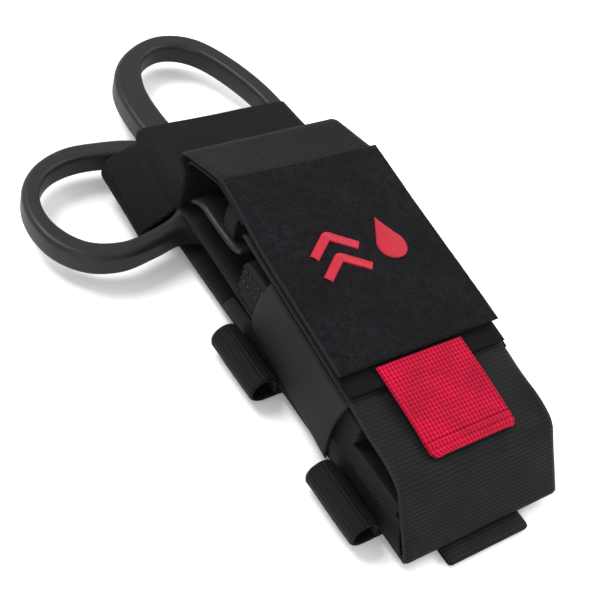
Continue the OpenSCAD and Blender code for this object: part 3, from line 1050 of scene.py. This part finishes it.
def folded_layers(first, last, bottom, top, layers, thick):
    """A strap's path back and forth between the heights bottom(y) and top(y)."""
    keys = []
    for k in range(layers):
        share = k / (layers - 1)
        ends = (first, last) if k % 2 == 0 else (last, first)
        for i in range(25):
            y = ends[0] + (ends[1] - ends[0]) * i / 24
            low, high = bottom(y) + thick / 2, top(y) - thick / 2
            keys.append(Vector((0, y, low + (high - low) * share)))
    return keys


def round_the_rod(radius, first, last):
    """Arc about the rod's axis, from the angle first to last in degrees."""
    arc = []
    for k in range(61):
        angle = math.radians(first + (last - first) * k / 60)
        arc.append(Vector((ROD_X + radius * math.cos(angle), 0, ROD_Z + radius * math.sin(angle))))
    return arc


def make_folds():
    """The strap in two stacks of folds: a thin one below, and the running end's above."""
    def pack_bottom(y):
        return PACK_LOW + np.interp(y, [76.5, 98.5, 101.5], [0.0, 1.7, 2.5])

    lower = folded_layers(11.4, 99.5, pack_bottom, lambda y: PACK_HIGH, 3, 0.8)
    strap("folded_strap_piece", soften(lower, 0.35, 0.7), "fine_webbing", "tourniquet", ["folded_strap"],
          centre=STRAP_X, width=38, thick=0.75, pitch=FINE_PITCH, rib=0.04, step=0.45,
          bend=lambda x, s: 0.12 * wave(51, x, s, 11.0))

    def stack_top(y):
        return np.interp(y, [34, 60, 98, 101.5], [24.8, 26.2, 29.2, 27.6])

    upper = folded_layers(35.0, 101.2, lambda y: PACK_HIGH + 0.2, stack_top, 8, 1.1)
    strap("running_end_piece", soften(upper, 0.35, 0.7), "fine_webbing", "tourniquet", ["running_end"],
          centre=STRAP_X, width=37.8, thick=1.15, pitch=FINE_PITCH, rib=0.04, step=0.45,
          bend=lambda x, s: 0.2 * wave(52, x, s, 13.0))


def make_plate():
    """The bent plate under the windlass, and the buckle that the strap runs through."""
    plate = soften(side_path([(104.4, 29.0), (107.4, 27.4), (110.0, 26.9), (119.0, 26.9), (127.5, 27.4),
                              (130.6, 26.4), (133.6, 24.4)]), 0.3, 1.8)
    strap("stabiliser_plate_piece", plate, "gloss_plastic", "tourniquet", ["stabiliser_plate"],
          centre=-3.6, width=51, thick=1.8, rib=0, columns=40)
    finish_cad("friction_buckle", "dark_plastic", 0.5)


def make_windlass():
    """The ridged rod in its clip, with the band round it and the writing strap over it."""
    body = "tourniquet"
    rod = [(0, 3.2), (0.3, 3.8), (0.9, 4.15)]
    for k in range(57):
        rod.append((3.0 + k * 1.5, 4.2 - 0.16 * (0.5 + 0.5 * math.sin(k * math.pi / 2))))
    rod += [(88.9, 4.15), (90.5, 3.7), (91.7, 2.6), (92.3, 1.3), (92.5, 0.2)]
    lathe("windlass_rod_piece", rod, (ROD_X, 34.0, ROD_Z), (0, 1, 0), "dark_plastic", body, ["windlass_rod"])
    strap("windlass_clip_piece", round_the_rod(5.25, 116, 424), "dark_plastic", body, ["windlass_clip"],
          side=Y, centre=CLIP_Y, width=12, thick=1.9, rib=0, columns=16)
    strap("inner_band_piece", round_the_rod(4.9, -44, 224), "fine_webbing", body, ["inner_band"],
          side=Y, centre=70.5, width=9, thick=1.0, pitch=FINE_PITCH, rib=0.04, columns=16)
    writing = end_path([(ROD_X - 6.4, 28.5), (ROD_X - 3, 28.75), (ROD_X + 3, 28.75), (ROD_X + 6.4, 28.5)])
    strap("time_strap_piece", soften(writing, 0.4, 2.0)[::-1], "label", body, ["time_strap"], side=Y,
          centre=CLIP_Y, width=8, thick=0.7, pitch=LABEL_PITCH, rib=0.02, columns=14)


def make_strap_tip():
    """The strap's short upright end beside the plate."""
    tip = soften([Vector((-26.8, 0, 28.4)), Vector((-27.2, 0, 31)), Vector((-27.6, 0, 35)),
                  Vector((-27.0, 0, 38.2))], 0.3, 1.0)
    strap("strap_tip_piece", tip, "fine_webbing", "tourniquet", ["strap_tip"], side=Y, centre=113.8,
          width=6.4, rib=0, columns=14)


def make_fold_stitches():
    """Two rows of stitches on the left side of the folds."""
    side_x = STRAP_X - 19.1
    for k, z in enumerate((20.4, 24.6)):
        seam = [Vector((side_x, 62, z)), Vector((side_x, 100, z + 1.6))]
        stitch_row(f"fold_stitch_{k}", seam, -X, "black_thread", "tourniquet")


make_camera()
make_studio()
make_front()
make_back()
elastic_side(-1, "left")
elastic_side(1, "right")
belt_loop("lower", 24.8)
belt_loop("upper", 80.5)
make_attachment()
make_shears_band()
flap_strap()
flap_lining()
flap_facings()
make_tab()
make_mark()
make_shears()
make_folds()
make_plate()
make_windlass()
make_strap_tip()
make_fold_stitches()
